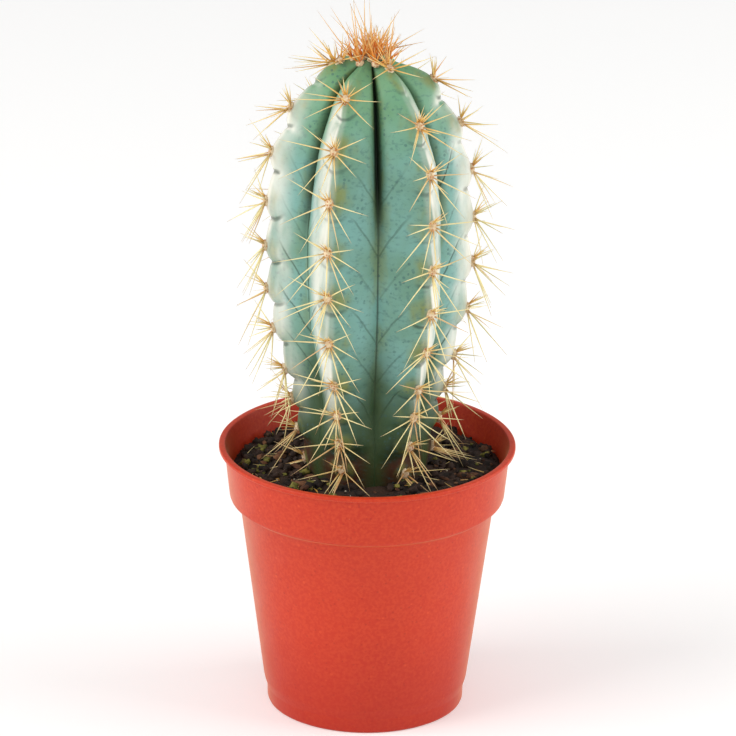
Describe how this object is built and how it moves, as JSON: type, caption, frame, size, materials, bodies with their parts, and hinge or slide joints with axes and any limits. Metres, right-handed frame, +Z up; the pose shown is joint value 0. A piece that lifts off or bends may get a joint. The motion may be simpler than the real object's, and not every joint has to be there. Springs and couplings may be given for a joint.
{
  "type": "potted tall cactus",
  "caption": "Tall columnar ribbed cactus with spine clusters along its ribs and a spiny crown, rooted in soil in a tapered plastic nursery pot that stands on its foot ring.",
  "frame": {"origin": "centre of the pot's foot ring, on the resting face", "axes": "+Z up along the stem, -Y the front, +X to the right seen from the front"},
  "size_m": [0.085, 0.085, 0.213],
  "materials": {
    "pot_plastic": "satin",
    "potting_mix": "matte",
    "stem_skin": "satin",
    "spines": "satin",
    "crown_spines": "satin",
    "areole_felt": "matte",
    "soil_bits": "matte"
  },
  "bodies": {
    "root": {"pot": "pot_plastic", "potting_mix": "potting_mix", "cactus_stem": "stem_skin", "crown_spines": "crown_spines", "spines_rib_1_areole_01": "spines", "spines_rib_1_areole_02": "spines", "spines_rib_1_areole_03": "spines", "spines_rib_1_areole_04": "spines", "spines_rib_1_areole_05": "spines", "spines_rib_1_areole_06": "spines", "spines_rib_1_areole_07": "spines", "spines_rib_1_areole_08": "spines", "spines_rib_1_areole_09": "spines", "spines_rib_2_areole_01": "spines", "spines_rib_2_areole_02": "spines", "spines_rib_2_areole_03": "spines", "spines_rib_2_areole_04": "spines", "spines_rib_2_areole_05": "spines", "spines_rib_2_areole_06": "spines", "spines_rib_2_areole_07": "spines", "spines_rib_2_areole_08": "spines", "spines_rib_2_areole_09": "spines", "spines_rib_3_areole_01": "spines", "spines_rib_3_areole_02": "spines", "spines_rib_3_areole_03": "spines", "spines_rib_3_areole_04": "spines", "spines_rib_3_areole_05": "spines", "spines_rib_3_areole_06": "spines", "spines_rib_3_areole_07": "spines", "spines_rib_3_areole_08": "spines", "spines_rib_3_areole_09": "spines", "spines_rib_4_areole_01": "spines", "spines_rib_4_areole_02": "spines", "spines_rib_4_areole_03": "spines", "spines_rib_4_areole_04": "spines", "spines_rib_4_areole_05": "spines", "spines_rib_4_areole_06": "spines", "spines_rib_4_areole_07": "spines", "spines_rib_4_areole_08": "spines", "spines_rib_4_areole_09": "spines", "spines_rib_5_areole_01": "spines", "spines_rib_5_areole_02": "spines", "spines_rib_5_areole_03": "spines", "spines_rib_5_areole_04": "spines", "spines_rib_5_areole_05": "spines", "spines_rib_5_areole_06": "spines", "spines_rib_5_areole_07": "spines", "spines_rib_5_areole_08": "spines", "spines_rib_5_areole_09": "spines", "spines_rib_6_areole_01": "spines", "spines_rib_6_areole_02": "spines", "spines_rib_6_areole_03": "spines", "spines_rib_6_areole_04": "spines", "spines_rib_6_areole_05": "spines", "spines_rib_6_areole_06": "spines", "spines_rib_6_areole_07": "spines", "spines_rib_6_areole_08": "spines", "spines_rib_6_areole_09": "spines"}
  },
  "joints": []
}
